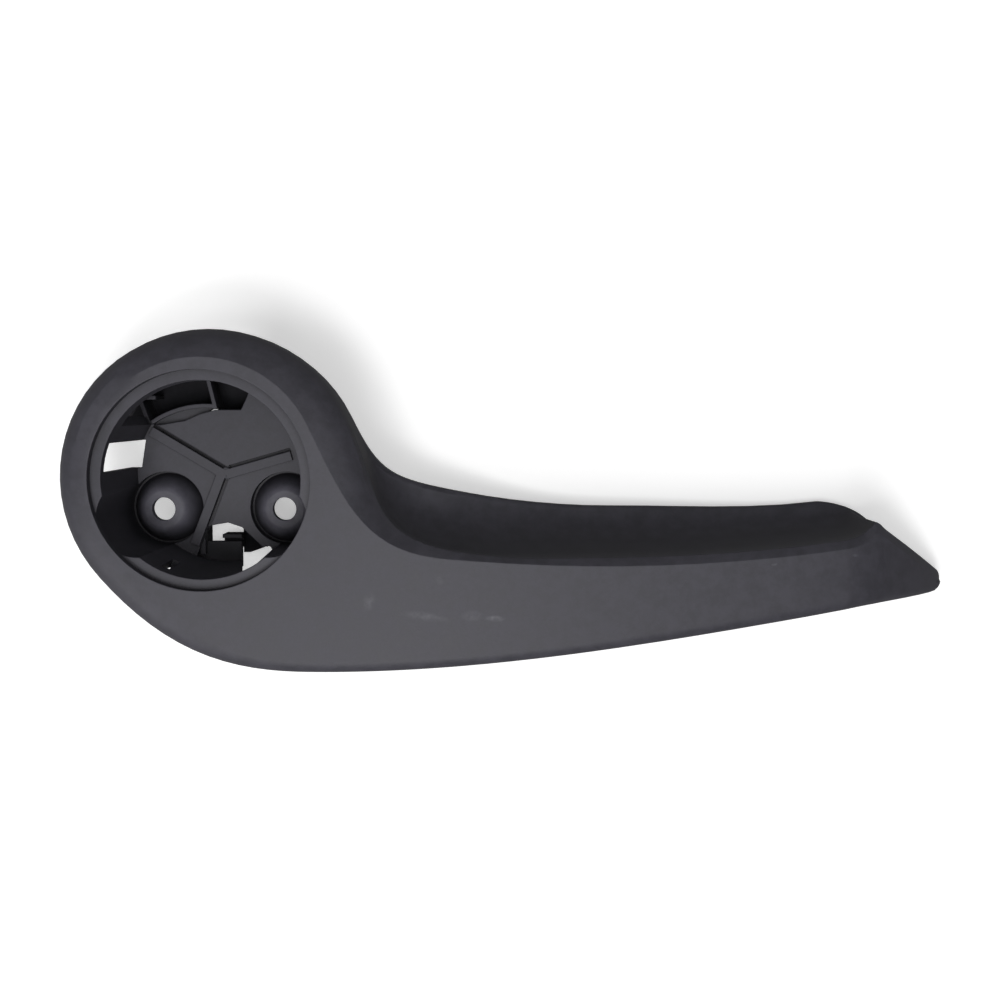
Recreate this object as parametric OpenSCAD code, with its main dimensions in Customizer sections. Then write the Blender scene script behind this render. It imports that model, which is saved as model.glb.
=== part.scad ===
// Seat adjustment lever: one moulded piece, lying on its back.
// The origin is on the axis of the round well, in the plane that the back rests on.
// +Z points out of the front face and +X points from the well to the grip's tip.

/* [Head] */
// Diameter of the head at its widest
head_d = 66.6; // [62:0.5:72]
// Distance from the well's axis to the centre of the head's outside, toward the tip
head_shift = 1.2; // [0:0.1:2]
// Height of the front face above the plane that the back rests on
face_h = 36; // [34:0.5:40]
// Height of the head's skirt edge above that plane
skirt_h = 18; // [14:0.5:20]
// Drop from the front face to the widest line of the head
roll_drop = 7.5; // [5:0.25:9]
// Diameter of the line where the face turns into the outer roll
face_d = 51; // [50:0.5:53]

/* [Well] */
// Diameter of the seat for the cover cap
cap_seat_d = 48.2; // [46:0.1:49]
// Depth of the seat for the cover cap
cap_seat_depth = 2; // [1.5:0.1:3]
// Diameter of the well just under the seat
well_d = 43.6; // [42:0.1:45]
// Diameter of the well at its floor
well_floor_d = 42.2; // [41:0.1:43.6]
// Height of the floor's front above the plane that the back rests on
floor_h = 9; // [8:0.5:11]
// Thickness of the floor
floor_t = 2; // [1.6:0.1:2.4]
// Thickness of the well's wall
well_wall = 2; // [1.5:0.1:2.5]

/* [Screw seats] */
// Radius of the circle that the two screws lie on
screw_r = 16.5; // [16:0.1:17.5]
// Angle between the two screws, open toward the lower edge
screw_spread = 120; // [112:1:128]
// Diameter of the screw holes
screw_hole_d = 5.5; // [4.5:0.1:6]
// Diameter of the round pocket cut for each screw
pocket_d = 17.4; // [16:0.1:18]
// Depth of a pocket below the floor
pocket_sink = 2.7; // [2:0.1:3.5]
// Diameter of the dome under a screw head
dome_d = 16.4; // [12:0.1:17]
// Height of the dome above the floor
dome_rise = 3; // [2:0.1:4]
// Diameter of the flat that the screw head bears on
dome_flat_d = 8.5; // [7:0.1:9.5]

/* [Grip] */
// Distance from the well's axis to the tip
grip_l = 172.4; // [160:0.5:185]
// Distance from the well's axis line down to the lowest point of the belly
belly_y = 42.5; // [40:0.1:44]
// Distance along the grip to that point
belly_x = 26; // [18:1:30]
// Distance from the axis line down to the lower edge where it levels out
bend_y = 29.9; // [29:0.1:32]
// Distance from the axis line down to the lower edge at the tip
tip_low_y = 28.7; // [28:0.1:31]
// Radius of the tip in plan
tip_r = 2.8; // [2.7:0.1:3.6]
// Height of the front face at the tip
tip_h = 6; // [5:0.25:9]
// Fall of the front face along the grip, before the tip turns down
face_fall = 12; // [8:0.5:14]
// Height of the back edge where the neck has come down
back_h = 4; // [3:0.25:6]
// Thickness of the shell
wall = 2.4; // [1.8:0.1:2.8]

/* [Finger groove] */
// Depth of the groove behind the front plate's edge, at the neck
groove_neck_w = 11.5; // [10:0.1:12.5]
// The same depth at the middle of the grip
groove_mid_w = 9; // [8:0.1:10.5]
// The same depth near the tip
groove_end_w = 6.7; // [5.5:0.1:8]
// Width of the bevel between the front face and the groove
bevel_w = 1.8; // [1.2:0.1:2.4]
// Height of the bevel
bevel_h = 1.6; // [1:0.1:2.4]
// Thickness of the flange's lip
lip_h = 3.5; // [3:0.1:4.5]
// Radius on the edge of the flange's lip
lip_r = 0.8; // [0.5:0.1:1.2]
// Width of the round on the lower edge of the grip
edge_w = 2.7; // [2:0.1:3.5]
// Height of the round on the lower edge of the grip
edge_h = 2.5; // [2:0.1:3.5]

/* [Ribs] */
// Thickness of the stiffening ribs inside the shell
rib_t = 1.4; // [1:0.1:2]
// Number of ribs across the grip
grip_ribs = 6; // [3:1:9]
// Width of the three raised ribs on the floor
floor_rib_w = 2.3; // [1.6:0.1:3]
// Height of the three raised ribs on the floor
floor_rib_h = 0.8; // [0.5:0.1:1.2]
// Width of the relief groove beside each of them
relief_w = 0.7; // [0.4:0.1:1]

/* [Hidden] */
$fn = 72;
SKIN = "#3f3e45";

// Number of steps in each stretch of a plan line.
ARC_N = 26;
NECK_N = 16;
GRIP_N = 6;
CORNER_N = 5;
SLANT_N = 5;
TIP_N = 5;
ROLL_N = 4;
GROOVE_N = 4;

// Plan lines. Each runs over the top side from the head's left end to the tip, and the
// lower side takes its points at the same distances along the grip.
// On the top side: where the neck has come down, the waist, the rise and the peak.
NECK_ANGLE = 25;
NECK_X = 56;
NECK_Y = -15.7;
WAIST_X = 92;
WAIST_Y = -17.1;
RISE_X = 143;
RISE_Y = -14;
RISE_SLOPE = 0.12;
PEAK_X = 150.5;
PEAK_Y = -10.3;
// The straight end slants down to the tip from here.
SLANT_X = 153.6;
SLANT_ANGLE = -33;
TIP_C = [grip_l - tip_r, tip_r - tip_low_y];
// Centres of the head's outside and of its front face, and how far left of each, as a part
// of the radius, the lower side leaves the circle.
HEAD_Y = -0.25;
HEAD_C = [head_shift, HEAD_Y];
HEAD_LEAVE = 0.754;
FACE_C = [0.6, 1.2];
FACE_LEAVE = 0.847;
// Where the lower edge levels out, and its slope there.
BEND_X = 143.7;
BEND_SLOPE = 0.149;
// The flange's corner, and the taper of the side walls toward the back.
FLANGE_CORNER = [153, -10.2];
DRAFT = 0.4;

function mix(a, b, t) = a + (b - a) * t;
function clamp01(t) = max(0, min(1, t));
function smooth(t) = let (u = clamp01(t)) u * u * (3 - 2 * u);
function polar(r, a) = [r * cos(a), r * sin(a)];
function arc(c, r, a0, a1, n) = [for (i = [0:n]) c + polar(r, mix(a0, a1, i / n))];
function bezier(p, q, r, s, n) = [
    for (i = [1:n])
        let (t = i / n, u = 1 - t)
            u * u * u * p + 3 * t * u * u * q + 3 * t * t * u * r + t * t * t * s
];

function slant_end(tip) = TIP_C + polar(tip, SLANT_ANGLE + 90);
function slant_start(tip) =
    let (end = slant_end(tip))
    [SLANT_X, end.y + (SLANT_X - end.x) * tan(SLANT_ANGLE)];

// One plan line over the top side: the head's arc, the neck, the grip, the corner
// where the groove ends, the slanted end and the tip. pulls holds the reach of the curve's
// handles at the neck's two ends, and turns the handles before and after the peak.
function upper(c, r, neck, slope, pulls, waist, rise, peak, turns, corner, tip) =
    let (
        start = c + polar(r, NECK_ANGLE),
        start_dir = polar(1, NECK_ANGLE - 90),
        neck_dir = [1, slope] / norm([1, slope]),
        end = slant_end(tip),
        slant_dir = (end - corner) / norm(end - corner),
        third = (waist.x - neck.x) / 3,
        run = (rise.x - waist.x) / 3
    )
    concat(
        arc(c, r, 180, NECK_ANGLE, ARC_N),
        bezier(start, start + start_dir * pulls[0], neck - neck_dir * pulls[1], neck, NECK_N),
        bezier(neck, neck + [third, third * slope], waist - [third, 0], waist, GRIP_N),
        bezier(waist, waist + [run, 0], rise - [run, run * RISE_SLOPE], rise, GRIP_N),
        bezier(rise, rise + turns[0], peak - turns[1], peak, CORNER_N),
        bezier(peak, peak + turns[2], corner - slant_dir, corner, CORNER_N),
        [for (i = [1:SLANT_N]) let (u = 1 - i / SLANT_N) mix(end, corner, u * u)],
        [for (i = [1:TIP_N]) TIP_C + polar(tip, (SLANT_ANGLE + 90) * (1 - i / TIP_N))]
    );

// Curve between two points with a slope at each.
function sway(x, p, p_slope, q, q_slope) =
    let (span = q.x - p.x, t = (x - p.x) / span, u = 1 - t)
    (1 + 2 * t) * u * u * p.y + t * u * u * span * p_slope
    + t * t * (3 - 2 * t) * q.y - t * t * u * span * q_slope;

// Lower side of a plan line: the head's arc, the belly, the lower edge and the tip.
function lower_y(x, c, r, leave, in, tip) =
    let (
        leave_p = c - r * [leave, sqrt(1 - leave * leave)],
        leave_slope = -leave / sqrt(1 - leave * leave),
        belly = [belly_x, in - belly_y],
        bend = [BEND_X, in - bend_y],
        tip_start = [TIP_C.x, TIP_C.y - tip]
    )
    x < leave_p.x ? c.y - sqrt(max(0, r * r - (x - c.x) * (x - c.x)))
    : x < belly.x ? sway(x, leave_p, leave_slope, belly, 0)
    : x < bend.x ? sway(x, belly, 0, bend, BEND_SLOPE)
    : x < tip_start.x ? sway(x, bend, BEND_SLOPE, tip_start, 0)
    : TIP_C.y - sqrt(max(0, tip * tip - (x - TIP_C.x) * (x - TIP_C.x)));

function closed(top, c, r, leave, in, tip) =
    let (last = len(top) - 1)
    concat(top, [
        for (i = [last - 1:-1:1])
            [top[i].x, lower_y(top[i].x, c, r, leave, in, tip)]
    ]);

// Line of the front plate's edge, set in by a distance.
EDGE_SLOPE = -0.17;
EDGE_PULLS = [19, 21];
EDGE_TURNS = [[4.5, 0.5], [1.7, 1.5], [0.8, 0.4]];
CORNER_INSET = 1.2;
function edge_line(in) =
    let (r = head_d / 2 - in, tip = tip_r - in)
    closed(
        upper(HEAD_C, r, [NECK_X, NECK_Y - in], EDGE_SLOPE, EDGE_PULLS, [WAIST_X, WAIST_Y - in],
            [RISE_X, RISE_Y - in], [PEAK_X, PEAK_Y - CORNER_INSET * in], EDGE_TURNS,
            slant_start(tip), tip),
        HEAD_C, r, HEAD_LEAVE, in, tip
    );

// Line where the front face begins, set in by a distance.
FACE_SLOPE = -0.08;
FACE_PULLS = [20, 18];
FACE_TURNS = [[4.5, 0.5], [1.7, 1.5], [0.8, 0.3]];
FACE_TIP_W = 2;
function face_line(in) =
    let (r = face_d / 2 - in, tip = tip_r - FACE_TIP_W - in / 2)
    closed(
        upper(FACE_C, r, [NECK_X - bevel_w, NECK_Y - 0.8 * bevel_w - in], FACE_SLOPE, FACE_PULLS,
            [WAIST_X, WAIST_Y - bevel_w - in], [RISE_X, RISE_Y - bevel_w - in],
            [PEAK_X - bevel_w / 4, PEAK_Y - 1.4 * bevel_w - in], FACE_TURNS,
            slant_start(tip), tip),
        FACE_C, r, FACE_LEAVE, edge_w + in, tip
    );

// Outer line of the flange behind the groove, set in by a distance.
FLANGE_SLOPE = -0.22;
FLANGE_PULLS = [14.7, 16.4];
FLANGE_TURNS = [[2.5, -0.1], [2, -0.6], [0.9, -0.4]];
FLANGE_PEAK = [149.5, -8.45];
function flange_line(in) =
    let (r = head_d / 2 - in - DRAFT, tip = tip_r - in)
    closed(
        upper(HEAD_C, r, [NECK_X, NECK_Y + groove_neck_w - in], FLANGE_SLOPE, FLANGE_PULLS,
            [WAIST_X, WAIST_Y + groove_mid_w - in], [RISE_X, RISE_Y + groove_end_w - in],
            FLANGE_PEAK - [0, CORNER_INSET * in], FLANGE_TURNS,
            FLANGE_CORNER - [0, CORNER_INSET * in], tip),
        HEAD_C, r, HEAD_LEAVE, in + DRAFT, tip
    );

// Heights along the part, by the distance from the well's axis. The face begins to fall at
// FALL_X and turns down at TURN_X. The back edge comes down over BACK_X and then sinks on to
// the bench. The other pairs are where the roll turns into the bevel or the lower round, and
// where the crease and the groove grow out of the head's roll.
FALL_X = 30;
TURN_X = 138;
BACK_X = [20, 85];
BACK_END = 12;
BEVEL_X = [25, 54];
ROUND_X = [-24, 20];
CREASE_X = [-20, -4];
GROOVE_X = [34, 42];
function part_of(x, a, b) = (x - a) / (b - a);
function ramp(x, span) = smooth(part_of(x, span[0], span[1]));
function face_z(x) =
    let (u = clamp01(part_of(x, FALL_X, grip_l)), v = clamp01(part_of(x, TURN_X, grip_l)))
    face_h - face_fall * u * u - (face_h - face_fall - tip_h) * v * v;
function back_z(x) =
    mix(skirt_h, back_h, ramp(x, BACK_X))
    - back_h * clamp01(part_of(x, BACK_X[1], grip_l - BACK_END));
function edge_drop(x, top) =
    top ? mix(roll_drop, bevel_h, ramp(x, BEVEL_X)) : mix(roll_drop, edge_h, ramp(x, ROUND_X));
function crease(x, top) = top ? ramp(x, CREASE_X) : 0;
function grooved(x, top) = top ? ramp(x, GROOVE_X) : 0;

// The lines stacked from the back edge up to the face: the back edge, the flange,
// the groove or side wall, the plate's edge, and the roll or bevel. The roll starts and
// ends at an angle: it starts late over the groove, and ends early at the crease.
// The groove's wall falls steeply behind the plate before it sweeps out into the flange.
GROOVE_START = 35;
CREASE_CUT = 46;
UNDERCUT = 0.14;
function stack(in) =
    let (
        fl = flange_line(in),
        ed = edge_line(in),
        fc = face_line(in / 2),
        half = (len(ed) + 2) / 2
    )
    concat(
        [[for (p = fl) [p.x, p.y, back_z(p.x)]]],
        [[for (p = fl) [p.x, p.y, back_z(p.x) + lip_h - lip_r - in]]],
        [
            for (j = [GROOVE_N:-1:1])
                let (a = 90 * j / GROOVE_N)
                    [
                        for (i = [0:len(ed) - 1])
                            let (
                                w = norm(fl[i] - ed[i]),
                                top = i < half,
                                under = UNDERCUT * sin(2 * a) * grooved(ed[i].x, top),
                                reach = (1 - cos(a) - under) * (1 - lip_r / max(w, 2 * lip_r)),
                                p = mix(ed[i], fl[i], reach),
                                z_edge = face_z(ed[i].x) - edge_drop(ed[i].x, top) - in / 2,
                                z_flange = back_z(fl[i].x) + lip_h - in
                            )
                                [p.x, p.y, mix(z_edge, z_flange, sin(a))]
                    ]
        ],
        [
            for (j = [0:ROLL_N])
                [
                    for (i = [0:len(ed) - 1])
                        let (
                            top = i < half,
                            a0 = GROOVE_START * grooved(ed[i].x, top),
                            a1 = 90 - CREASE_CUT * crease(ed[i].x, top),
                            a = mix(a0, a1, j / ROLL_N),
                            across = (cos(a0) - cos(a)) / (cos(a0) - cos(a1)),
                            up = (sin(a) - sin(a0)) / (sin(a1) - sin(a0)),
                            p = mix(ed[i], fc[i], across),
                            z_edge = face_z(ed[i].x) - edge_drop(ed[i].x, top) - in / 2,
                            z_face = face_z(fc[i].x) - in
                        )
                            [p.x, p.y, mix(z_edge, z_face, up)]
                ]
        ]
    );

// Faces that join two lines, and faces that close a line from side to side.
function band(a, b, n) = [
    for (i = [0:n - 1])
        let (k = (i + 1) % n)
            each [[a + i, b + k, b + i], [a + i, a + k, b + k]]
];
function ladder(a, n) = [
    for (i = [0:n / 2 - 1])
        let (near = a + (n - i) % n, far = a + n - i - 1)
            each concat(
                i > 0 ? [[a + i, a + i + 1, near]] : [],
                i < n / 2 - 1 ? [[near, a + i + 1, far]] : []
            )
];
function flip(faces) = [for (f = faces) [f[2], f[1], f[0]]];

// The open-backed shell: an outer stack and an inner one, joined along the back edge.
module shell() {
    outer = stack(0);
    inner = stack(wall);
    n = len(outer[0]);
    rows = len(outer);
    points = [for (ring = concat(outer, inner)) each ring];
    outer_faces = [for (j = [0:rows - 2]) each band(j * n, (j + 1) * n, n)];
    inner_faces = [for (j = [rows:2 * rows - 2]) each flip(band(j * n, (j + 1) * n, n))];
    polyhedron(
        points,
        concat(
            outer_faces,
            inner_faces,
            flip(band(0, rows * n, n)),
            ladder((rows - 1) * n, n),
            flip(ladder((2 * rows - 1) * n, n))
        ),
        convexity = 8
    );
}

// Heights and sizes that follow from the driving values. FIT is how far cutters and joined
// bodies run past a face, and REACH how far a cutter runs past a wall.
FIT = 0.5;
REACH = 6;
LEDGE_Z = face_h - cap_seat_depth;
UNDER_Z = floor_h - floor_t;
SUNK_Z = floor_h - pocket_sink;
COLLAR_Z = face_h - wall / 2;
COLLAR_H = 4.3;
COLLAR_W = 2.1;
COLLAR_R = cap_seat_d / 2 + COLLAR_W;
WELL_R = well_d / 2;
FLOOR_R = well_floor_d / 2;
POCKET_R = pocket_d / 2;
SCREW_AT = [for (side = [-1, 1]) [side * screw_r * sin(screw_spread / 2), -screw_r * cos(screw_spread / 2)]];

// Well: its wall and collar as one turned body.
module well_body() {
    rotate_extrude()
        polygon([
            [0, UNDER_Z],
            [FLOOR_R + well_wall, UNDER_Z],
            [WELL_R + well_wall, COLLAR_Z - COLLAR_H],
            [COLLAR_R, COLLAR_Z - COLLAR_H],
            [COLLAR_R, COLLAR_Z],
            [0, COLLAR_Z]
        ]);
}

// Space inside the well, with the step that the cover cap sits on.
module well_space() {
    rotate_extrude()
        polygon([
            [0, floor_h],
            [FLOOR_R, floor_h],
            [WELL_R, LEDGE_Z],
            [cap_seat_d / 2, LEDGE_Z],
            [cap_seat_d / 2, face_h + FIT],
            [0, face_h + FIT]
        ]);
}

// Screw seats: a round pocket each, and a hollow dome with the screw hole in it.
module pocket_walls() {
    for (p = SCREW_AT)
        translate([p.x, p.y, SUNK_Z - floor_t])
            cylinder(h = COLLAR_Z - SUNK_Z + floor_t, r = POCKET_R + well_wall);
}
module pocket_spaces() {
    for (p = SCREW_AT)
        translate([p.x, p.y, SUNK_Z])
            cylinder(h = LEDGE_Z - SUNK_Z, r = POCKET_R);
}
DOME_TOP = floor_h + dome_rise;
DOME_WALL = 0.6;
SHOULDER_N = 7;
module domes() {
    shoulder = [
        for (i = [0:SHOULDER_N])
            let (t = i / SHOULDER_N)
                [mix(dome_d, dome_flat_d, t) / 2, mix(SUNK_Z, DOME_TOP, sin(90 * t))]
    ];
    for (p = SCREW_AT)
        translate(p)
            rotate_extrude()
                polygon(concat([[0, SUNK_Z - floor_t], [dome_d / 2, SUNK_Z - floor_t]], shoulder, [[0, DOME_TOP]]));
}
module screw_holes() {
    for (p = SCREW_AT)
        translate([p.x, p.y, -FIT]) {
            cylinder(h = DOME_TOP + 2 * FIT, d = screw_hole_d);
            cylinder(h = DOME_TOP - floor_t + FIT, d = dome_flat_d + 2 * DOME_WALL);
        }
}

// The three raised ribs on the floor: length, angle, shift sideways, side of the relief.
FLOOR_RIBS = [[20.3, 149, 0.35, -1], [16.2, 16, -0.15, 1], [18.6, 248.6, -0.92, 1]];
RIB_GAP = 0.1;
module floor_ribs() {
    for (rib = FLOOR_RIBS)
        rotate([0, 0, rib[1]])
            translate([0, rib[2] - floor_rib_w / 2, floor_h - FIT])
                cube([rib[0], floor_rib_w, floor_rib_h + FIT]);
    translate([0, 0, floor_h - FIT / 2])
        cylinder(h = floor_rib_h + FIT / 2 - RIB_GAP, d = 1.3 * floor_rib_w);
}
// Each relief runs a hair into its rib and past the rib's end, so that no faces coincide.
module floor_reliefs() {
    for (rib = FLOOR_RIBS)
        rotate([0, 0, rib[1]])
            translate([
                floor_rib_w / 2,
                rib[2] + rib[3] * (floor_rib_w + relief_w - RIB_GAP) / 2 - (relief_w + RIB_GAP) / 2,
                floor_h - floor_t / 2
            ])
                cube([rib[0] - floor_rib_w / 2 + RIB_GAP, relief_w + RIB_GAP, floor_t + floor_rib_h]);
}

// Wall of an even thickness between two plan points.
module wall_between(p, q, t, low, high) {
    run = q - p;
    translate([p.x, p.y, low])
        rotate([0, 0, atan2(run.y, run.x)])
            translate([-t / 2, -t / 2, 0])
                cube([norm(run) + t, t, high - low]);
}
// Wall along an arc.
module wall_round(c, r, a0, a1, t, low, high) {
    translate([c.x, c.y, low])
        rotate([0, 0, a0])
            rotate_extrude(angle = a1 - a0)
                translate([r - t / 2, 0])
                    square([t, high - low]);
}

// Opening at the top of the well, and the box behind it that the part rests on.
BOX_WALL = 0.9;
BOX_FLOOR = 1.2;
BOX_TOP = floor_h - FIT / 2;
BOX_ARM = [-17, 18];
BOX_END = 70;
BOX_END_P = [[-6, 13.2], [5.6, 13.2]];
BOX_SIDE = [[-17.9, 11], [-26, 11.6], [-26, 18.4], [-20.2, 18.1]];
CUT_END = 73;
BOX_A = [-18.2, 11.8];
BOX_B = [-20.4, 17.9];
BOX_C = [-2.5, 15.8];
BOX_D = [-5.1, 26.8];
BOX_ARC_C = [-4.7, -6.7];
BOX_ARC_R = 22.8;
BOX_R = 27.2;
FLOOR_EDGE = [BOX_A, [-15.6, 11.5], [-9.6, 12.5], [-6, 14.1], [-2.4, 15.1], [3.75, 15.1], [5.2, 18.1]];
BOX_B_ANGLE = atan2(BOX_B.y, BOX_B.x);
module top_opening() {
    translate([0, 0, UNDER_Z - FIT])
        linear_extrude(LEDGE_Z - COLLAR_H - UNDER_Z + FIT)
            polygon(concat(FLOOR_EDGE, arc([0, 0], WELL_R + REACH, CUT_END, BOX_B_ANGLE, ARC_N / 2)));
}
module top_box() {
    a = atan2(BOX_A.y - BOX_ARC_C.y, BOX_A.x - BOX_ARC_C.x);
    c = atan2(BOX_C.y - BOX_ARC_C.y, BOX_C.x - BOX_ARC_C.x);
    wall_between(BOX_ARM, BOX_B, BOX_WALL, 0, BOX_TOP);
    wall_between(BOX_B, BOX_A, BOX_WALL, 0, BOX_TOP);
    wall_round(BOX_ARC_C, BOX_ARC_R, c, a, BOX_WALL, 0, BOX_TOP);
    wall_between(BOX_C, BOX_D, BOX_WALL, 0, BOX_TOP);
    wall_round([0, 0], BOX_R, BOX_END, BOX_B_ANGLE, BOX_WALL, 0, BOX_TOP);
    linear_extrude(BOX_FLOOR)
        polygon(concat(
            arc([0, 0], BOX_R, BOX_END, BOX_B_ANGLE, ARC_N / 2),
            [BOX_B, BOX_A],
            arc(BOX_ARC_C, BOX_ARC_R, a, c, ARC_N / 2),
            BOX_END_P
        ));
    linear_extrude(BOX_FLOOR / 2)
        polygon(BOX_SIDE);
    translate([0, 0, UNDER_Z - floor_t / 2])
        linear_extrude(floor_t / 2 + BOX_WALL / 2)
            polygon(concat(
                [for (p = FLOOR_EDGE) if (p.x < BOX_C.x) p - [0, FIT]],
                [BOX_C],
                arc(BOX_ARC_C, BOX_ARC_R, c, a, ARC_N / 2)
            ));
}

// Side window, through which the bench shows.
WINDOW_Y = [1.4, 8];
WINDOW_X = [-20.1, -19];
module side_window() {
    translate([0, 0, -FIT])
        linear_extrude(LEDGE_Z - well_wall + FIT)
            polygon([
                [WINDOW_X[1], WINDOW_Y[1]],
                [-WELL_R - REACH, WINDOW_Y[1]],
                [-WELL_R - REACH, WINDOW_Y[0]],
                [WINDOW_X[0], WINDOW_Y[0]]
            ]);
}
// Small slot through the well's wall, low on the left.
DRAIN_ANGLE = 245;
DRAIN_W = 1.8;
DRAIN_Z = [21, 30];
module drain_slot() {
    rotate([0, 0, DRAIN_ANGLE])
        translate([FLOOR_R - FIT, -DRAIN_W / 2, DRAIN_Z[0]])
            cube([well_wall + 3 * FIT, DRAIN_W, DRAIN_Z[1] - DRAIN_Z[0]]);
}

// Opening at the bottom of the well, the latch in it and the window beside the latch.
LATCH_X = [-8.6, 2.6];
LATCH_Z = 5.5;
LATCH_GAP = 0.3;
LATCH_ARC = [-112, -83.5];
LATCH_T = 1.6;
LATCH_Y = -16.7;
LIP_X = -2;
LIP_Y = [-15.9, -15];
CHEEK_X = -6.3;
STRIP = [[3.5, -12.9], [8.4, -17.7]];
OPENING_TOP = [[-4.9, -12.9], [-3.4, -12.4], [0.2, -11.8]];
OPENING_LOW = [[10.1, -17.4], [14, -24], [-9, -24]];
module bottom_opening() {
    intersection() {
        translate([0, 0, UNDER_Z - FIT])
            linear_extrude(floor_t + 2 * FIT)
                polygon(concat(OPENING_TOP, STRIP, OPENING_LOW));
        cylinder(h = face_h, r = FLOOR_R + LATCH_GAP);
    }
}
CORNER_Y = -18.2;
CORNER_X = [8.6, 13.5];
CORNER_TOP = LEDGE_Z - 0.8;
module corner_window() {
    translate([0, CORNER_Y, 0])
        rotate([90, 0, 0])
            linear_extrude(WELL_R + REACH)
                polygon([
                    [LATCH_X[1], UNDER_Z - floor_t],
                    [CORNER_X[0], CORNER_TOP],
                    [CORNER_X[1], CORNER_TOP],
                    [CORNER_X[1], UNDER_Z - floor_t]
                ]);
}
module latch() {
    intersection() {
        translate([LATCH_X[0], -WELL_R - REACH, LATCH_Z - LATCH_T])
            cube([LATCH_X[1] - LATCH_X[0], LATCH_Y + WELL_R + REACH, LATCH_T]);
        cylinder(h = face_h, r = FLOOR_R + well_wall);
    }
    wall_round(
        [0, 0], FLOOR_R + well_wall / 2 + LATCH_GAP / 2, LATCH_ARC[0], LATCH_ARC[1],
        well_wall - 3 * LATCH_GAP, LATCH_Z - LATCH_T, floor_h + FIT
    );
    translate([LIP_X, LIP_Y[0], 0])
        cube([LATCH_X[1] - LIP_X, LIP_Y[1] - LIP_Y[0], LATCH_Z]);
    translate([LIP_X, LATCH_Y - LATCH_T, 0])
        cube([LATCH_X[1] - LIP_X, LIP_Y[0] + FIT - LATCH_Y + LATCH_T, LATCH_Z - floor_t]);
    translate([LIP_X, LATCH_Y - LATCH_T, 0])
        cube([LATCH_X[1] - LIP_X, LATCH_T, LATCH_Z - FIT]);
}
CHEEK_Y = [-19, -12.6];
CHEEK_SIDE = [0.7, 0.7];
CHEEK_FLOOR = [[2.2, -12.6], [3.6, -12], [9.2, -17.4], [7.2, -18.7], [3.8, -19.9], [2.2, -19.9]];
module cheeks() {
    wall_between([CHEEK_X, CHEEK_Y[1]], [CHEEK_X, CHEEK_Y[0]], BOX_FLOOR, 0, UNDER_Z + FIT);
    wall_between(STRIP[0] + CHEEK_SIDE, STRIP[1] + CHEEK_SIDE, BOX_FLOOR, 0, UNDER_Z + FIT);
    linear_extrude(BOX_FLOOR)
        polygon(CHEEK_FLOOR);
}

// Ribs that tie the well to the skirt, with the corner that lies under the roll cut off,
// and ribs across the hollow grip.
TIE_ANGLES = [50, 105, 145, 205, 232, 256];
TIE_LOW = 22;
TIE_IN = 1.7;
TIE_CUTS = [[0, roll_drop + 0.2], [2.8, roll_drop - 4], [5.8, TIE_IN]];
module tie_ribs() {
    for (a = TIE_ANGLES) {
        far = head_d / 2 - TIE_IN + head_shift * cos(a);
        near = WELL_R + well_wall / 2;
        rotate([90, 0, a])
            translate([0, 0, -rib_t / 2])
                linear_extrude(rib_t)
                    polygon(concat(
                        [[near, TIE_LOW], [far, TIE_LOW]],
                        [for (cut = TIE_CUTS) [far - cut[0], face_h - cut[1]]],
                        [[near, face_h - TIE_IN]]
                    ));
    }
}
RIB_X = [44, 146];
RIB_SINK = 3;
module grip_rib(x) {
    rings = stack(wall / 2);
    half = (len(rings[0]) + 2) / 2;
    last = len(rings[0]);
    tops = [
        for (j = [1:len(rings) - 1])
            let (t = [for (i = [0:half - 1]) rings[j][i]])
                [
                    lookup(x, [for (p = t) [p.x, p.y]]),
                    lookup(x, [for (p = t) [p.x, p.z]])
                ]
    ];
    lows = [
        for (j = [1:len(rings) - 1])
            let (t = [for (i = [last - 1:-1:half - 1]) rings[j][i]])
                [
                    lookup(x, [for (p = t) [p.x, p.y]]),
                    lookup(x, [for (p = t) [p.x, p.z]])
                ]
    ];
    base = back_z(x) + RIB_SINK;
    translate([x - rib_t / 2, 0, 0])
        rotate([90, 0, 90])
            linear_extrude(rib_t)
                polygon(concat(
                    [[tops[0].x, base]],
                    [for (p = tops) if (p.y > base) p],
                    [for (j = [len(lows) - 1:-1:0]) if (lows[j].y > base) lows[j]],
                    [[lows[0].x, base]]
                ));
}

module lever() {
    color(SKIN)
        difference() {
            union() {
                difference() {
                    union() {
                        shell();
                        well_body();
                        pocket_walls();
                        tie_ribs();
                    }
                    well_space();
                    pocket_spaces();
                    top_opening();
                    side_window();
                    drain_slot();
                    bottom_opening();
                    corner_window();
                }
                domes();
                floor_ribs();
                top_box();
                latch();
                cheeks();
                for (i = [0:grip_ribs - 1])
                    grip_rib(mix(RIB_X[0], RIB_X[1], i / (grip_ribs - 1)));
            }
            screw_holes();
            floor_reliefs();
        }
}

lever();
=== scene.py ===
import math

import bmesh
import bpy
from mathutils import Matrix, Vector


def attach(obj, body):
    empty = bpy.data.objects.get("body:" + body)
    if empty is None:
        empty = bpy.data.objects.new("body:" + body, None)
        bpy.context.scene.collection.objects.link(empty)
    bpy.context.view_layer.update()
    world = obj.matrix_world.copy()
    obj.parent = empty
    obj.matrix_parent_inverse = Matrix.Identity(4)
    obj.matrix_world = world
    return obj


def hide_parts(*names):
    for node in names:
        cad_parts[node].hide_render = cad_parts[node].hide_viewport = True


bl_info = {
    "name": "Seat adjustment lever",
    "version": (1, 0, 0),
    "blender": (4, 5, 0),
    "location": "View3D > Sidebar > Lever",
    "description": "Moulded lever with its grained plastic, and the bench it lies on",
    "category": "Object",
}

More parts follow.
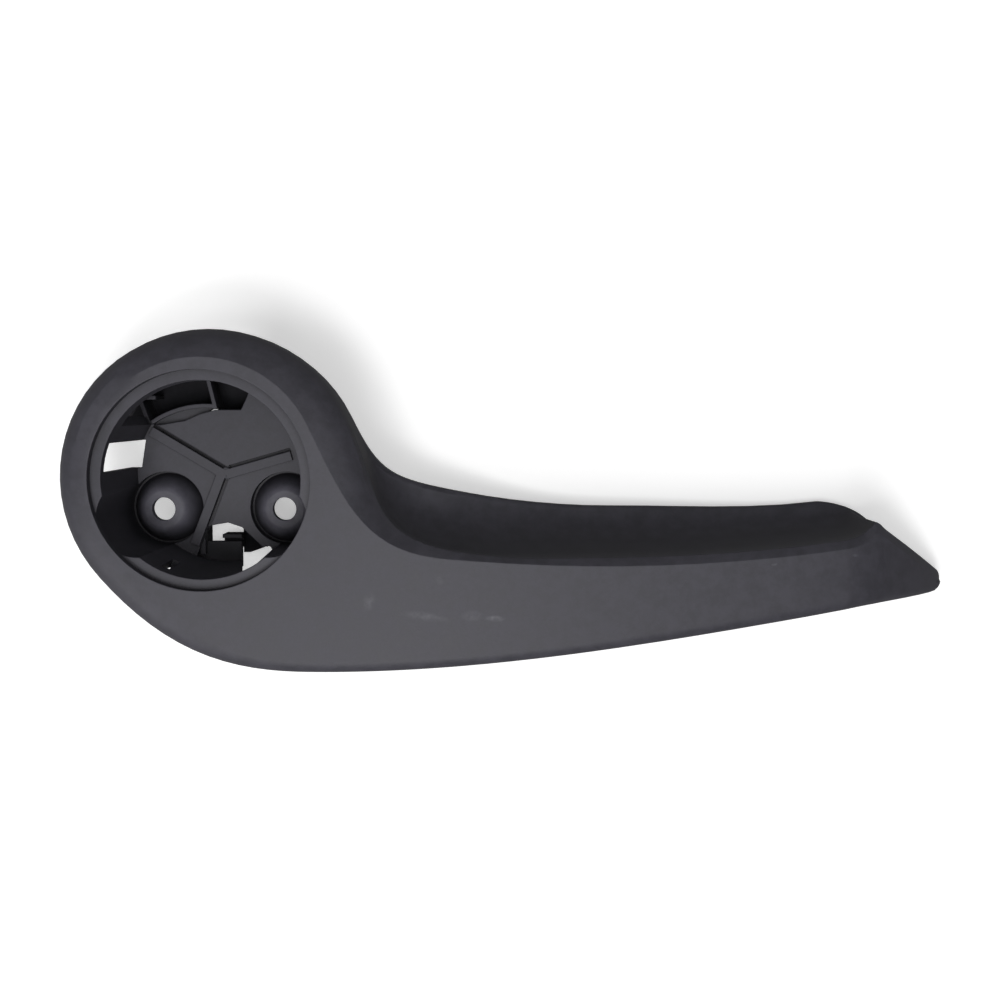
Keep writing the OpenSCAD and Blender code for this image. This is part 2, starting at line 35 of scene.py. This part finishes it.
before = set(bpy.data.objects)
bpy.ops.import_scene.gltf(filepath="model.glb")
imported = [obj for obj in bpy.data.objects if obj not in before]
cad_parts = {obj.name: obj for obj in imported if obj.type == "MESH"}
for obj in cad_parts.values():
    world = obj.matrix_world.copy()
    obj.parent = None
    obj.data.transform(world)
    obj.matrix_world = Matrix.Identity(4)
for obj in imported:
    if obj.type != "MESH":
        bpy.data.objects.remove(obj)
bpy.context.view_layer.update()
NODE = "lever"
MM = 0.001

# The front face's facets look up at least this much, and lie above this height.
FRONT_LEVEL = 0.95
FRONT_LOW = 12 * MM
# The plate's outline is crisp on its upper side alone, where a facet looks this much toward +Y.
OUTLINE_SIDE = 0.1
# Facets on the groove's side look at least this much toward +Y. The groove begins here.
GROOVE_SIDE = 0.2
GROOVE_START = 33 * MM
# Corners this close are one, and edges shorter than the second value go.
WELD = 0.002 * MM
SLIVER = 0.001 * MM

# Where the screws sit, either side of the middle, and from where to where the painted light on the domes
# fades.
SCREW_X, SCREW_Y = 14.29 * MM, -8.25 * MM
DOME_LIGHT_R = (5.0 * MM, 8.2 * MM)
# Heights between which painted shade darkens the plastic under the well's floor, and how far out it lies.
DEEP_Z = (4.5 * MM, 7.5 * MM)
DEEP_R = (28 * MM, 29 * MM)

# Spacing of the uneven patches on the plastic, the stretch of noise used, and the tones it gives.
PATCH = 3.846 * MM
PATCH_SPAN = (0.38, 0.62)
PATCH_TONE = (0.88, 1.12)
# Stretch of the same noise that moves the roughness, and how far it goes up and down.
SHINE_SPAN = (0.3, 0.7)
SHINE_SWING = 0.04
# How open a place is to the air round it, from a recess to an open face: over this span the painted shade
# of the recesses fades out.
OPEN_SPAN = (0.3, 0.8)
SPECULAR = 0.4

# Faint rubs on the front face, as place, half length, half width in millimetres, turn and strength.
SCUFFS = (
    ((64.1, -30.2), 2.7, 0.9, -2, 1.0),
    ((59.1, -29.6), 3.0, 1.6, 0, 0.45),
    ((48.9, -29.6), 7.0, 1.3, -8, 0.45),
    ((36.6, -26.5), 1.8, 2.8, -25, 0.45),
    ((52.0, -21.7), 1.2, 1.6, 30, 0.2),
    ((126.1, -18.9), 0.9, 0.4, 8, 0.7),
    ((145.0, -17.3), 1.1, 0.5, 0, 0.4),
    ((19.3, -14.4), 0.8, 0.5, 20, 0.35),
)
SCUFF_COLOUR = "#6e6e74"
# Height of the rubs' middle, their half height, and the shares of a rub's size where it fades.
SCUFF_Z, SCUFF_RISE = 30 * MM, 20 * MM
SCUFF_FADE = (1.0, 0.2)
# Spacing of the specks that break a rub up, and the stretch of noise used.
SPECKLE = 1.111 * MM
SPECKLE_SPAN = (0.25, 0.75)

# Soft lights round the bench: name, turn and height in degrees, distance and side in metres, watts.
LIGHTS = (
    ("key_front", 260, 63, 0.7, 0.25, 1.48),
    ("key_high", 260, 75, 0.7, 0.25, 0.80),
    ("key_left", 210, 70, 0.7, 0.15, 0.62),
    ("low_left", 217, 25, 0.75, 0.4, 1.95),
    ("right", 20, 70, 0.7, 0.4, 1.11),
    ("back", 90, 45, 0.7, 0.5, 0.29),
    ("overhead", 0, 89, 0.7, 0.6, 0.32),
)
AIM = Vector((0.06, -0.01, 0.03))
# Half the bench's side, its drop below the lever, and the distances between which it fades to white.
BENCH_HALF = 2.0
BENCH_DROP = 0.02 * MM
FADE_NEAR, FADE_FAR = 0.3, 0.7

CAMERA_PLACE = (0.065232, 0.017436, 0.294645)
CAMERA_TILT = 0.083141
SENSOR_WIDTH = 36
CLIP_START = 0.01


def rgb(hex_colour, alpha=1.0):
    """Linear colour of an sRGB hex value."""
    parts = [int(hex_colour.lstrip("#")[i:i + 2], 16) / 255 for i in (0, 2, 4)]
    linear = [c / 12.92 if c <= 0.04045 else ((c + 0.055) / 1.055) ** 2.4 for c in parts]
    return (*linear, alpha)


def node(tree, kind, inputs=None, **settings):
    """Adds a shader node, sets its properties, and sets or links its inputs."""
    added = tree.nodes.new(kind)
    for name, value in settings.items():
        setattr(added, name, value)
    for socket, value in (inputs or {}).items():
        if isinstance(value, bpy.types.NodeSocket):
            tree.links.new(value, added.inputs[socket])
        else:
            added.inputs[socket].default_value = value
    return added


def new_material(name):
    """Empty node material and the shader output it ends in."""
    material = bpy.data.materials.new(name)
    material.use_nodes = True
    tree = material.node_tree
    tree.nodes.clear()
    return material, tree, node(tree, "ShaderNodeOutputMaterial")


class LeverSkin(bpy.types.PropertyGroup):
    colour: bpy.props.FloatVectorProperty(
        name="Plastic colour", description="Colour of the moulded plastic",
        subtype="COLOR", size=4, min=0, max=1, default=rgb("#3f3e45"))
    roughness: bpy.props.FloatProperty(
        name="Roughness", description="Roughness of the eroded mould finish",
        default=0.56, min=0.2, max=1, subtype="FACTOR")
    grain: bpy.props.FloatProperty(
        name="Grain size", description="Spacing of the fine mould grain",
        default=0.42 * MM, min=0.1 * MM, max=1 * MM, unit="LENGTH")
    grain_depth: bpy.props.FloatProperty(
        name="Grain depth", description="Depth of the fine mould grain",
        default=0.012 * MM, min=0, max=0.05 * MM, unit="LENGTH")
    # Painted shade in the recesses: how far other walls count, and the share of brightness left there.
    recess: bpy.props.FloatProperty(
        name="Recess reach", description="Distance within which other walls make a place a recess",
        default=9 * MM, min=1 * MM, max=40 * MM, unit="LENGTH")
    recess_tone: bpy.props.FloatProperty(
        name="Recess tone", description="Brightness of the plastic in the recesses, against the open faces",
        default=0.45, min=0, max=1, subtype="FACTOR")
    # Painted light: the two domes are lifted by this factor, in place of the recess shade there.
    dome_light_tone: bpy.props.FloatProperty(
        name="Brightened tone", description="Brightness of the rubbed domes, against the open faces",
        default=1.9, min=0, max=4)
    # Painted shade: the share of brightness left under the well's floor.
    deep_tone: bpy.props.FloatProperty(
        name="Deep tone", description="Brightness of the plastic under the well's floor",
        default=0.25, min=0, max=1, subtype="FACTOR")
    edge_round: bpy.props.FloatProperty(
        name="Edge rounding", description="Radius that the mould's edges show in the light",
        default=0.3 * MM, min=0, max=1 * MM, unit="LENGTH")
    sharp_angle: bpy.props.FloatProperty(
        name="Sharp angle", description="Angle above which an edge stays a crease",
        default=math.radians(33), min=0, max=math.pi, subtype="ANGLE")
    crease_angle: bpy.props.FloatProperty(
        name="Crease angle", description="Angle above which the front plate's outline stays a crease",
        default=math.radians(14), min=0, max=math.pi, subtype="ANGLE")
    hollow_angle: bpy.props.FloatProperty(
        name="Hollow angle", description="Angle above which an inside corner stays a crease",
        default=math.radians(50), min=0, max=math.pi, subtype="ANGLE")


class LeverStage(bpy.types.PropertyGroup):
    floor_colour: bpy.props.FloatVectorProperty(
        name="Bench colour", description="Colour of the white bench top",
        subtype="COLOR", size=4, min=0, max=1, default=rgb("#949494"))
    floor_gain: bpy.props.FloatProperty(
        name="Bench gain", description="How much brighter the camera sees the bench than the lever does",
        default=2.9, min=1, max=5)
    floor_glow: bpy.props.FloatProperty(
        name="Bench glow", description="Light that the camera sees coming through the bench top",
        default=0.42, min=0, max=2)
    seen_gloss: bpy.props.FloatProperty(
        name="Backdrop in gloss", description="Share of the white backdrop that reflections show",
        default=0.05, min=0, max=1, subtype="FACTOR")
    power: bpy.props.FloatProperty(
        name="Light power", description="Factor on the power of all the soft lights", default=1, min=0)
    sky: bpy.props.FloatProperty(
        name="Sky", description="Strength of the even light from all round", default=0.0, min=0)
    focal: bpy.props.FloatProperty(
        name="Focal length", description="Focal length of the camera",
        default=43.2, min=10, max=200, subtype="DISTANCE_CAMERA")


def scuff_mask(tree, place):
    """Soft marks where the face was rubbed, broken up by noise so that they read as worn grain."""
    total = None
    for (x, y), length, width, turn, strength in SCUFFS:
        moved = node(tree, "ShaderNodeMapping", {
            "Vector": place, "Location": (x * MM, y * MM, SCUFF_Z),
            "Rotation": (0, 0, math.radians(turn)),
            "Scale": (length * MM, width * MM, SCUFF_RISE)}, vector_type="TEXTURE")
        far = node(tree, "ShaderNodeVectorMath", {0: moved.outputs[0]}, operation="LENGTH")
        mark = node(tree, "ShaderNodeMapRange", {
            "Value": far.outputs["Value"], "From Min": SCUFF_FADE[0], "From Max": SCUFF_FADE[1],
            "To Min": 0.0, "To Max": strength}, interpolation_type="SMOOTHSTEP").outputs[0]
        if total is None:
            total = mark
        else:
            total = node(tree, "ShaderNodeMath", {0: total, 1: mark}, operation="MAXIMUM").outputs[0]
    speckle = node(tree, "ShaderNodeTexNoise", {"Vector": place, "Scale": 1 / SPECKLE, "Detail": 3.0})
    broken = node(tree, "ShaderNodeMapRange", {
        "Value": speckle.outputs[0], "From Min": SPECKLE_SPAN[0], "From Max": SPECKLE_SPAN[1]})
    marks = node(tree, "ShaderNodeMath", {0: total, 1: broken.outputs[0]}, operation="MULTIPLY")
    return marks.outputs[0]


def painted_dome_light(tree, place):
    """Soft mask on the two domes in the well, which painted light makes paler."""
    mirrored = node(tree, "ShaderNodeVectorMath", {0: place}, operation="ABSOLUTE")
    across = node(tree, "ShaderNodeSeparateXYZ", {0: mirrored.outputs[0]})
    along = node(tree, "ShaderNodeSeparateXYZ", {0: place})
    flat = node(tree, "ShaderNodeCombineXYZ", {"X": across.outputs["X"], "Y": along.outputs["Y"]})
    far = node(tree, "ShaderNodeVectorMath", {
        0: flat.outputs[0], 1: (SCREW_X, SCREW_Y, 0)}, operation="DISTANCE")
    return node(tree, "ShaderNodeMapRange", {
        "Value": far.outputs["Value"], "From Min": DOME_LIGHT_R[0], "From Max": DOME_LIGHT_R[1],
        "To Min": 1.0, "To Max": 0.0}, interpolation_type="SMOOTHSTEP").outputs[0]


def deep_shade_mask(tree, place):
    """Mask of what lies under the well's floor, which painted shade makes near black."""
    height = node(tree, "ShaderNodeSeparateXYZ", {0: place})
    low = node(tree, "ShaderNodeMapRange", {
        "Value": height.outputs["Z"], "From Min": DEEP_Z[0], "From Max": DEEP_Z[1],
        "To Min": 1.0, "To Max": 0.0})
    flat = node(tree, "ShaderNodeVectorMath", {0: place, 1: (1, 1, 0)}, operation="MULTIPLY")
    far = node(tree, "ShaderNodeVectorMath", {0: flat.outputs[0]}, operation="LENGTH")
    inside = node(tree, "ShaderNodeMapRange", {
        "Value": far.outputs["Value"], "From Min": DEEP_R[0], "From Max": DEEP_R[1],
        "To Min": 1.0, "To Max": 0.0})
    both = node(tree, "ShaderNodeMath", {0: low.outputs[0], 1: inside.outputs[0]}, operation="MULTIPLY")
    return both.outputs[0]


def grained_plastic(skin):
    """Black polypropylene, injection moulded in a spark-eroded tool: matt, with a fine even grain. Painted
    shade darkens its recesses and the plastic under the well's floor, and painted light brightens the two
    domes.
    """
    material, tree, out = new_material("Grained black polypropylene")
    place = node(tree, "ShaderNodeTexCoord").outputs["Object"]
    # Weak patches down to specks: the melt's flow, dust and finger marks make the matt face uneven.
    patches = node(tree, "ShaderNodeTexNoise", {
        "Vector": place, "Scale": 1 / PATCH, "Detail": 4.0, "Roughness": 0.7})
    tone = node(tree, "ShaderNodeMapRange", {
        "Value": patches.outputs[0], "From Min": PATCH_SPAN[0], "From Max": PATCH_SPAN[1],
        "To Min": PATCH_TONE[0], "To Max": PATCH_TONE[1]})
    # Painted shade: places that other walls crowd are darkened towards the recess tone, while the open
    # faces keep the full colour.
    open_air = node(tree, "ShaderNodeAmbientOcclusion", {
        "Distance": skin.recess}, samples=4, only_local=True)
    recess_shade = node(tree, "ShaderNodeMapRange", {
        "Value": open_air.outputs["AO"], "From Min": OPEN_SPAN[0], "From Max": OPEN_SPAN[1],
        "To Min": skin.recess_tone, "To Max": 1.0}, interpolation_type="SMOOTHSTEP")
    # Painted light on the two domes, in place of the recess shade there.
    brightened = node(tree, "ShaderNodeMix", {
        "Factor": painted_dome_light(tree, place), 2: recess_shade.outputs[0], 3: skin.dome_light_tone})
    # Painted shade under the well's floor.
    deep = deep_shade_mask(tree, place)
    sunk = node(tree, "ShaderNodeMix", {"Factor": deep, 2: brightened.outputs[0], 3: skin.deep_tone})
    shade = node(tree, "ShaderNodeMath", {0: tone.outputs[0], 1: sunk.outputs[0]}, operation="MULTIPLY")
    base = node(tree, "ShaderNodeVectorMath", {
        0: tuple(skin.colour[:3]), "Scale": shade.outputs[0]}, operation="SCALE")
    scuffs = scuff_mask(tree, place)
    worn = node(tree, "ShaderNodeMix", {
        "Factor": scuffs, 6: base.outputs[0], 7: rgb(SCUFF_COLOUR)}, data_type="RGBA")
    dull = node(tree, "ShaderNodeMapRange", {
        "Value": patches.outputs[0], "From Min": SHINE_SPAN[0], "From Max": SHINE_SPAN[1],
        "To Min": skin.roughness - SHINE_SWING, "To Max": skin.roughness + SHINE_SWING})
    # Under the floor the plastic is fully rough, so that it doesn't glint.
    matt = node(tree, "ShaderNodeMath", {0: dull.outputs[0], 1: deep}, operation="MAXIMUM")
    # Grain too fine to see as relief at arm's length: it breaks up the highlights. It is drawn
    # coarser than the real one, as fine as the picture can hold.
    grain = node(tree, "ShaderNodeTexNoise", {"Vector": place, "Scale": 1 / skin.grain, "Detail": 2.0})
    rounded = node(tree, "ShaderNodeBevel", {"Radius": skin.edge_round}, samples=6)
    relief = node(tree, "ShaderNodeBump", {
        "Height": grain.outputs[0], "Distance": skin.grain_depth, "Strength": 1.0,
        "Normal": rounded.outputs[0]})
    shader = node(tree, "ShaderNodeBsdfPrincipled", {
        "Base Color": worn.outputs[2], "Roughness": matt.outputs[0],
        "Specular IOR Level": SPECULAR, "Normal": relief.outputs[0]})
    tree.links.new(shader.outputs[0], out.inputs["Surface"])
    return material


def white_seen(tree, stage):
    """How much of the white backdrop a ray sees: the camera and glass all of it, gloss a share."""
    rays = node(tree, "ShaderNodeLightPath").outputs
    gloss = node(tree, "ShaderNodeMath", {
        0: rays["Is Glossy Ray"], 1: stage.seen_gloss}, operation="MULTIPLY")
    direct = node(tree, "ShaderNodeMath", {
        0: rays["Is Camera Ray"], 1: rays["Is Transmission Ray"]}, operation="MAXIMUM")
    return node(tree, "ShaderNodeMath", {
        0: direct.outputs[0], 1: gloss.outputs[0]}, operation="MAXIMUM").outputs[0]


def bench_white(stage):
    """White melamine bench top, a little overexposed where nothing shades it."""
    material, tree, out = new_material("White melamine bench")
    seen = white_seen(tree, stage)
    gain = node(tree, "ShaderNodeMapRange", {"Value": seen, "To Min": 1.0, "To Max": stage.floor_gain})
    colour = node(tree, "ShaderNodeVectorMath", {
        0: tuple(stage.floor_colour[:3]), "Scale": gain.outputs[0]}, operation="SCALE")
    shader = node(tree, "ShaderNodeBsdfDiffuse", {"Color": colour.outputs[0]})
    # The bench top lets light through, so that even deep inside the well it shows bright. Far from
    # the part, where the lamps fall off, it fades to plain white.
    place = node(tree, "ShaderNodeTexCoord").outputs["Object"]
    far = node(tree, "ShaderNodeVectorMath", {0: place}, operation="LENGTH")
    fade = node(tree, "ShaderNodeMapRange", {
        "Value": far.outputs["Value"], "From Min": FADE_NEAR, "From Max": FADE_FAR,
        "To Min": stage.floor_glow, "To Max": 1.0}, interpolation_type="SMOOTHSTEP")
    glow = node(tree, "ShaderNodeMath", {0: seen, 1: fade.outputs[0]}, operation="MULTIPLY")
    light = node(tree, "ShaderNodeEmission", {"Strength": glow.outputs[0]})
    both = node(tree, "ShaderNodeAddShader", {0: shader.outputs[0], 1: light.outputs[0]})
    tree.links.new(both.outputs[0], out.inputs["Surface"])
    return material


def smooth_limit(edge, skin):
    """Angle up to which an edge is shaded smooth: little at the plate's outline, much in hollow sweeps."""
    normals = [face.normal for face in edge.link_faces]
    if len(normals) == 2 and not edge.is_convex:
        return skin.hollow_angle
    high = edge.verts[0].co.z > FRONT_LOW
    outline = (max(n.z for n in normals) > FRONT_LEVEL and min(n.z for n in normals) > 0
               and max(n.y for n in normals) > OUTLINE_SIDE)
    groove_edge = edge.verts[0].co.x > GROOVE_START and min(n.y for n in normals) > GROOVE_SIDE
    return skin.crease_angle if high and (outline or groove_edge) else skin.sharp_angle


class LEVER_OT_skin(bpy.types.Operator):
    """Lays the smooth, grained skin over the moulded lever"""
    bl_idname = "lever.skin"
    bl_label = "Lever skin"
    bl_options = {"REGISTER", "UNDO"}

    def execute(self, context):
        skin = context.scene.lever_skin
        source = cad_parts[NODE]
        mesh = source.data.copy()
        mesh.name = "lever_skin"
        # The CAD facets' own normals go, so that merged corners are shaded afresh.
        if "custom_normal" in mesh.attributes:
            mesh.attributes.remove(mesh.attributes["custom_normal"])
        shape = bmesh.new()
        shape.from_mesh(mesh)
        bmesh.ops.remove_doubles(shape, verts=shape.verts, dist=WELD)
        bmesh.ops.dissolve_degenerate(shape, edges=shape.edges, dist=SLIVER)
        for face in shape.faces:
            face.smooth = True
        for edge in shape.edges:
            edge.smooth = edge.calc_face_angle(math.pi) < smooth_limit(edge, skin)
        shape.to_mesh(mesh)
        shape.free()
        mesh.materials.clear()
        mesh.materials.append(grained_plastic(skin))
        piece = bpy.data.objects.new("lever_skin", mesh)
        context.scene.collection.objects.link(piece)
        even = piece.modifiers.new("even", "WEIGHTED_NORMAL")
        even.mode = "FACE_AREA"
        even.keep_sharp = True
        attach(piece, "root")
        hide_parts(NODE)
        return {"FINISHED"}


class LEVER_OT_stage(bpy.types.Operator):
    """Sets the bench, the lights and the camera"""
    bl_idname = "lever.stage"
    bl_label = "Bench, lights and camera"
    bl_options = {"REGISTER", "UNDO"}

    def execute(self, context):
        scene = context.scene
        stage = scene.lever_stage
        half = BENCH_HALF
        corners = [(-half, -half, 0), (half, -half, 0), (half, half, 0), (-half, half, 0)]
        mesh = bpy.data.meshes.new("bench")
        mesh.from_pydata(corners, [], [(0, 1, 2, 3)])
        mesh.materials.append(bench_white(stage))
        bench = bpy.data.objects.new("bench", mesh)
        scene.collection.objects.link(bench)
        bench.location.z = -BENCH_DROP

        for name, turn, rise, far, size, watts in LIGHTS:
            soft = bpy.data.lights.new(name, "AREA")
            soft.shape = "SQUARE"
            soft.size = size
            soft.energy = watts * stage.power
            lamp = bpy.data.objects.new(name, soft)
            across = math.cos(math.radians(rise))
            toward = Vector((
                across * math.cos(math.radians(turn)),
                across * math.sin(math.radians(turn)),
                math.sin(math.radians(rise))))
            lamp.location = AIM + far * toward
            lamp.rotation_euler = toward.to_track_quat("Z", "Y").to_euler()
            scene.collection.objects.link(lamp)

        world = bpy.data.worlds.new("studio")
        world.use_nodes = True
        tree = world.node_tree
        background = tree.nodes["Background"]
        background.inputs["Color"].default_value = (1, 1, 1, 1)
        # Beyond the bench the camera sees white, which doesn't light the part.
        strength = node(tree, "ShaderNodeMapRange", {
            "Value": white_seen(tree, stage), "To Min": stage.sky, "To Max": 1.0})
        tree.links.new(strength.outputs[0], background.inputs["Strength"])
        scene.world = world

        lens = bpy.data.cameras.new("camera")
        lens.lens = stage.focal
        lens.sensor_width = SENSOR_WIDTH
        lens.dof.use_dof = False
        lens.clip_start = CLIP_START
        camera = bpy.data.objects.new("camera", lens)
        camera.matrix_world = Matrix.Translation(CAMERA_PLACE) @ Matrix.Rotation(-CAMERA_TILT, 4, "X")
        scene.collection.objects.link(camera)
        scene.camera = camera
        scene.view_settings.view_transform = "Standard"
        return {"FINISHED"}


class LEVER_PT_panel(bpy.types.Panel):
    """Lists the lever's settings and operators"""
    bl_label = "Seat adjustment lever"
    bl_idname = "LEVER_PT_panel"
    bl_space_type = "VIEW_3D"
    bl_region_type = "UI"
    bl_category = "Lever"

    def draw(self, context):
        for group, operator in (("lever_skin", "lever.skin"), ("lever_stage", "lever.stage")):
            box = self.layout.box()
            for name in getattr(context.scene, group).__annotations__:
                box.prop(getattr(context.scene, group), name)
            box.operator(operator)


CLASSES = (LeverSkin, LeverStage, LEVER_OT_skin, LEVER_OT_stage, LEVER_PT_panel)


def register():
    for cls in CLASSES:
        bpy.utils.register_class(cls)
    bpy.types.Scene.lever_skin = bpy.props.PointerProperty(type=LeverSkin)
    bpy.types.Scene.lever_stage = bpy.props.PointerProperty(type=LeverStage)


def unregister():
    del bpy.types.Scene.lever_stage
    del bpy.types.Scene.lever_skin
    for cls in reversed(CLASSES):
        bpy.utils.unregister_class(cls)


def main():
    register()
    bpy.ops.lever.skin()
    bpy.ops.lever.stage()


if __name__ == "__main__":
    main()
